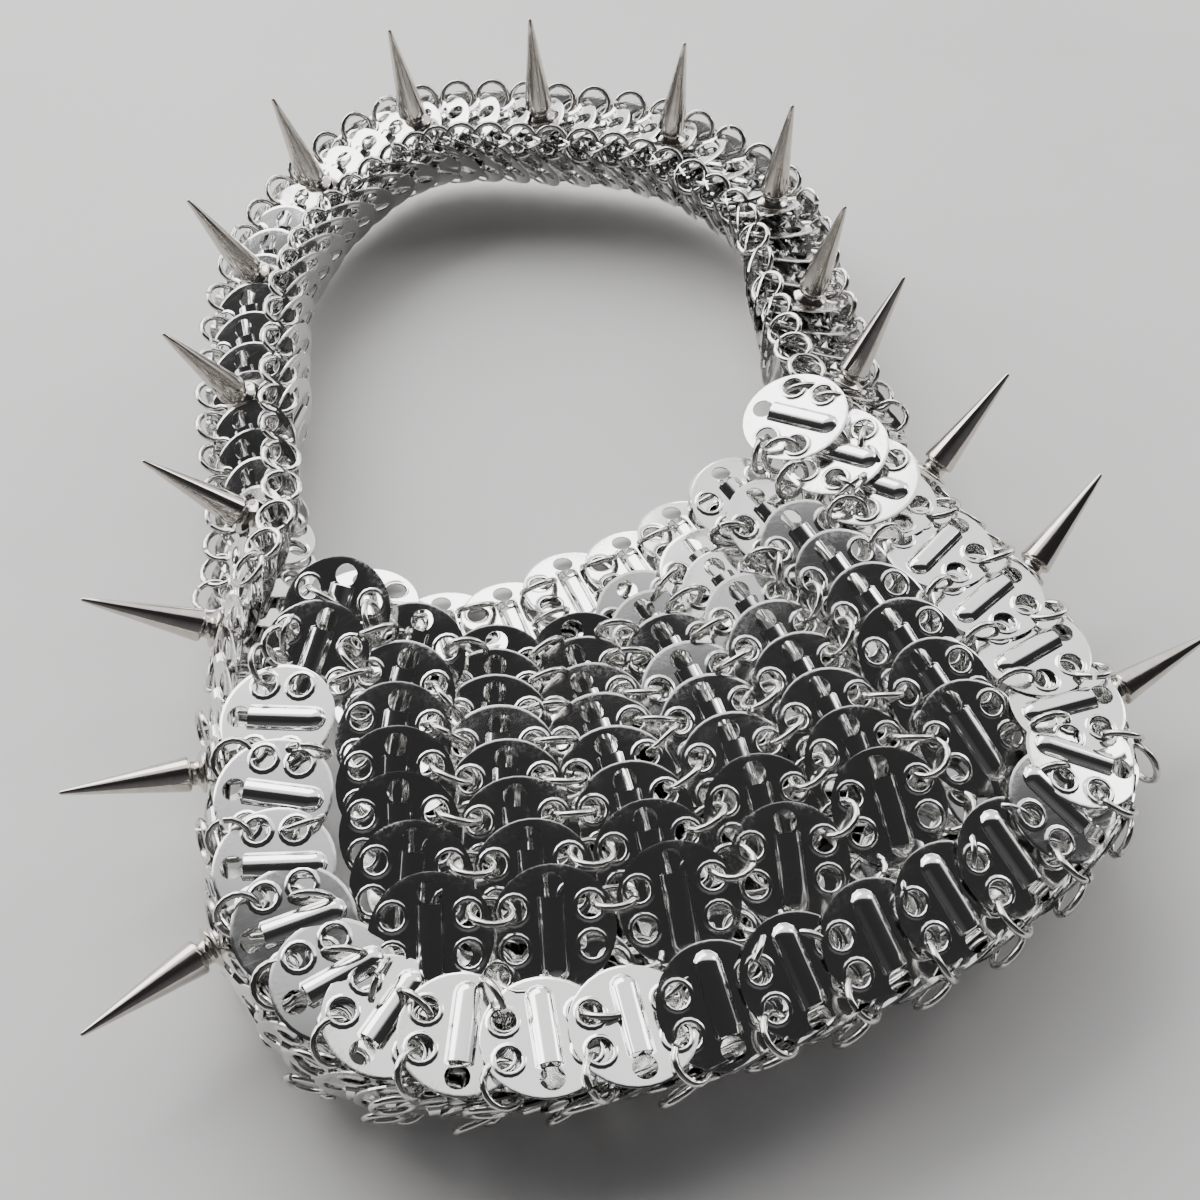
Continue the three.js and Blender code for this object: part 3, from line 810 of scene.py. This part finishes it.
def rim_rings(name, rows, corner):
    """The rings between a rim and the gusset: one through the rim's stacked outer holes and a second one
    from it to the gusset's edge."""
    rows = (rows[1:] + rows[:-1]) / 2
    s = section(rows)
    aside = 1 if corner == "front" else -1
    edge = s.front_corner if corner == "front" else s.back_corner
    slope = s.front_slope if corner == "front" else s.back_slope
    face = s.front_face if corner == "front" else s.back_face
    hole = edge + slope * (RIM_INSET - RING_HOLE_ALONG) + face * RIM_LIFT
    knee = edge + (face + s.outward) * OVER_EDGE
    low = edge - aside * s.across * BELOW_EDGE[0]
    foot = edge - aside * s.across * BELOW_EDGE[1] + s.outward * OFF_GUSSET
    start, end = np.concatenate([hole, low]), np.concatenate([knee, foot])
    bulge = np.concatenate([EDGE_BULGE * face + s.along, GUSSET_BULGE * s.outward + s.along])
    lay_rings(name, start, end, unit(bulge), 0.0, RIM_LOOSE)


rim_rings("front_rim_rings", front_rim_rows, "front")
rim_rings("back_rim_rings", back_rim_rows, "back")


# The rings of the panels: how far they lean over at the mouth and at the foot and lie off by chance, in
# degrees
FRONT_TILTS = (5.0, 60.0)
BACK_TILTS = (25.0, 25.0)
PANEL_LOOSE = 9.0


def panel_rings(name, panel, face, leans):
    """The rings of a panel: one from each disc's mouth-side hole to the nearest hole of the next column on
    its right. They lean over by the two angles, the first at the mouth and the second at the foot."""
    starts, ends, tilts = [], [], []
    for number in range(int(panel.columns.max())):
        here, there = panel.columns == number, panel.columns == number + 1
        near = hole_of(panel, 1, -1)[here]
        far = hole_of(panel, 1, 1)[there]
        nearest = np.linalg.norm(near[:, None] - far[None], axis=2).argmin(axis=1)
        starts.append(near)
        ends.append(far[nearest])
        tilts.append(np.linspace(*leans, len(near)))
    start, end = np.concatenate(starts), np.concatenate(ends)
    bulge = np.tile(face, (len(start), 1))
    lay_rings(name, start, end, bulge, np.concatenate(tilts), PANEL_LOOSE)


panel_rings("front_panel_rings", front_panel, UP, FRONT_TILTS)
panel_rings("back_panel_rings", back_panel, -UP, BACK_TILTS)


# The rings that reach from one piece to another: how far they lean over and lie off by chance, in degrees
FOOT_TILT = 20.0
SHOULDER_TILT = 30.0
REACHING_LOOSE = 12.0


def all_holes(discs):
    return np.concatenate([hole_of(discs, a, b) for a in (1, -1) for b in (1, -1)])


def reaching_rings(name, start, others, face, tilt):
    """A ring from each start place towards the nearest hole of the other discs, as far as a ring reaches."""
    gaps = np.linalg.norm(start[:, None] - others[None], axis=2)
    nearest = others[gaps.argmin(axis=1)]
    reach = np.minimum(gaps.min(axis=1), 2 * RING_RADIUS)[:, None]
    lay_rings(name, start, start + unit(nearest - start) * reach, face, tilt, REACHING_LOOSE)


# Those that hang each panel in its rim
reaching_rings("front_foot_rings", hole_of(front_rim, -1, 1), all_holes(front_panel),
               front_rim.section.front_face, FOOT_TILT)
reaching_rings("back_foot_rings", hole_of(back_rim, -1, 1), all_holes(back_panel),
               back_rim.section.back_face, FOOT_TILT)

# Those that tie the shoulder discs to the rim, the panel and the handle
holes = all_holes(shoulder)
linked = np.concatenate([all_holes(discs) for discs in (front_rim, front_panel, handle)])
reaching_rings("shoulder_rings", holes, linked, np.tile(UP, (len(holes), 1)), SHOULDER_TILT)


# The spikes: turned in one piece from bar, with a blunt tip, a small step at the base of the cone, a neck
# and a flared collar, each screwed to a disc of the middle band. There are sixteen, one to a row of the
# band table, and SPIKE_LEANS is how far each leans along the band, in degrees.
SPIKE_LEANS = np.radians([-17, -11, -3, -1, -4, -4, -4, -5, -4, 2, -4, -2, -13, -8, -20, -20])
SPIKE_SEAT = 0.0022
SPIKE_SIDES = 40
SPIKE_FIRST_SIDE = (0.3, 0.9, 0.1)
SPIKE_PROFILE = np.array([
    (0.0, 0.0), (4.9, 0.0), (5.5, 0.15), (5.5, 0.35), (5.0, 0.75), (3.7, 1.3), (3.3, 1.7), (3.2, 2.2),
    (3.2, 3.1), (3.4, 3.45), (3.9, 3.6), (4.35, 3.75), (4.6, 4.1), (4.55, 4.7), (3.95, 9.5), (3.2, 15.5),
    (2.3, 22.5), (1.3, 30.5), (0.62, 35.5), (0.42, 36.0), (0.0, 36.1),
]) * 0.001
SPIKE_STEEL = (0.62, 0.585, 0.545, 1.0)
SPIKE_BROWN = (0.40, 0.36, 0.32, 1.0)

spike_metal = Finish("spike_metal", Metallic=1.0)
turning = spike_metal.noise(spike_metal.place(), 260.0).clipped(0.35, 0.7)
spike_metal.drive(Base_Color=spike_metal.mix(turning * 0.5, SPIKE_STEEL, SPIKE_BROWN),
                  Roughness=0.10 + turning * 0.10)


def turned_mesh(name, profile, sides, base, axis):
    """A profile of (radius, height) turned round the axis that stands at base: radius times the circle's
    direction plus height times the axis, with a single point at each end."""
    first = unit(np.cross(axis, SPIKE_FIRST_SIDE))
    second = np.cross(axis, first)
    angle = np.arange(sides) * 2 * np.pi / sides
    spokes = np.cos(angle)[:, None] * first + np.sin(angle)[:, None] * second
    rings = profile[1:-1]
    points = base + rings[:, 1, None, None] * axis + rings[:, 0, None, None] * spokes[None]
    count = len(rings)
    tips = [base + profile[0, 1] * axis, base + profile[-1, 1] * axis]
    points = np.concatenate([points.reshape(-1, 3), tips])
    i, j = np.meshgrid(np.arange(count - 1), np.arange(sides), indexing="ij")
    a, b = i * sides + j, i * sides + (j + 1) % sides
    quads = np.stack([a, b, b + sides, a + sides], 2).reshape(-1, 4).tolist()
    j = np.arange(sides)
    low = np.column_stack([np.full(sides, count * sides), (j + 1) % sides, j]).tolist()
    top = (count - 1) * sides
    high = np.column_stack([np.full(sides, count * sides + 1), top + j, top + (j + 1) % sides]).tolist()
    mesh = bpy.data.meshes.new(name)
    mesh.from_pydata(points.tolist(), [], quads + low + high)
    mesh.shade_smooth()
    piece = bpy.data.objects.new(name, mesh)
    bpy.context.collection.objects.link(piece)
    return piece


s = section(np.arange(len(SPIKE_LEANS)))
spike_axes = unit(s.outward * np.cos(SPIKE_LEANS)[:, None] + s.along * np.sin(SPIKE_LEANS)[:, None])
for number, (base, axis) in enumerate(zip(s.middle + SPIKE_SEAT * s.outward, spike_axes), start=1):
    spike = turned_mesh(f"spike_cone_{number:02d}", SPIKE_PROFILE, SPIKE_SIDES, base, axis)
    spike.data.materials.append(spike_metal.material)
    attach(spike, "root")
    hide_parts(f"spike_{number:02d}")
